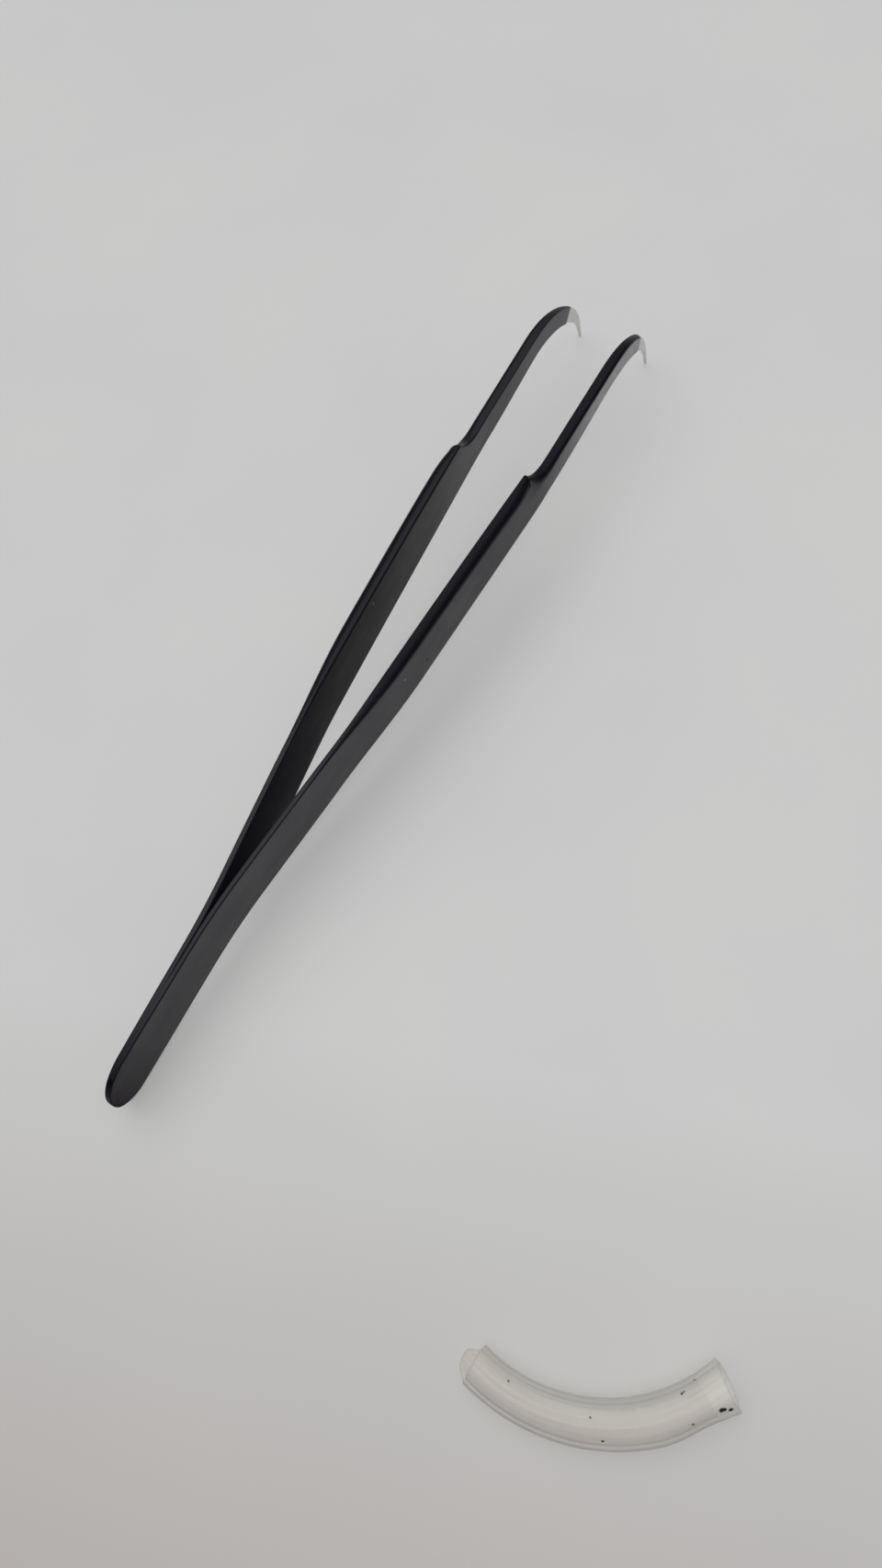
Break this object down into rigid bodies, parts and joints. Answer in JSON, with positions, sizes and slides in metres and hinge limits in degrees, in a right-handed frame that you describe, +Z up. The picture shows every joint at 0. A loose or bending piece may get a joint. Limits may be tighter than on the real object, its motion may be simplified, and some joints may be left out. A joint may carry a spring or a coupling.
{
  "type": "precision tweezers",
  "caption": "Fine curved-tip precision tweezers: welded spring-steel arms with a black coating and bare steel points, with a clear soft tube that guards the tips.",
  "frame": {"origin": "on the table plane, under the middle of the box around the standing tweezers and their tip guard", "axes": "+Z up from the table, +X from the welded tail towards the tips, +Y towards the left arm"},
  "size_m": [0.125, 0.0824, 0.0151],
  "materials": {
    "steel": "ground and polished bare stainless steel",
    "black_coating": "satin black coating",
    "guard_vinyl": "milky clear soft vinyl"
  },
  "bodies": {
    "tail": {"left_tail": "steel", "right_tail": "steel", "tail_welds": "steel", "tail_coating": "black_coating"},
    "left_blade": {"left_arm": "steel", "left_coating": "black_coating"},
    "right_blade": {"right_arm": "steel", "right_coating": "black_coating"},
    "guard": {"tip_guard": "guard_vinyl"}
  },
  "joints": [
    {"name": "left_squeeze", "type": "hinge", "parent": "tail", "child": "left_blade", "pos_m": [-0.01764, 0.03689, 0.00867], "axis": [0.091, 0, -0.9959], "range_deg": [0, 3.62], "stiffness_Nm_per_rad": 0.8},
    {"name": "right_squeeze", "type": "hinge", "parent": "tail", "child": "right_blade", "pos_m": [-0.01764, 0.03295, 0.00867], "axis": [-0.091, 0, 0.9959], "range_deg": [0, 3.62], "stiffness_Nm_per_rad": 0.8},
    {"name": "guard_lift", "type": "slide", "parent": "tail", "child": "guard", "axis": [0, 0, 1], "range_m": [0, 0.03]}
  ],
  "couplings": [
    {"joint": "right_squeeze", "follows": "left_squeeze", "ratio": 1}
  ]
}
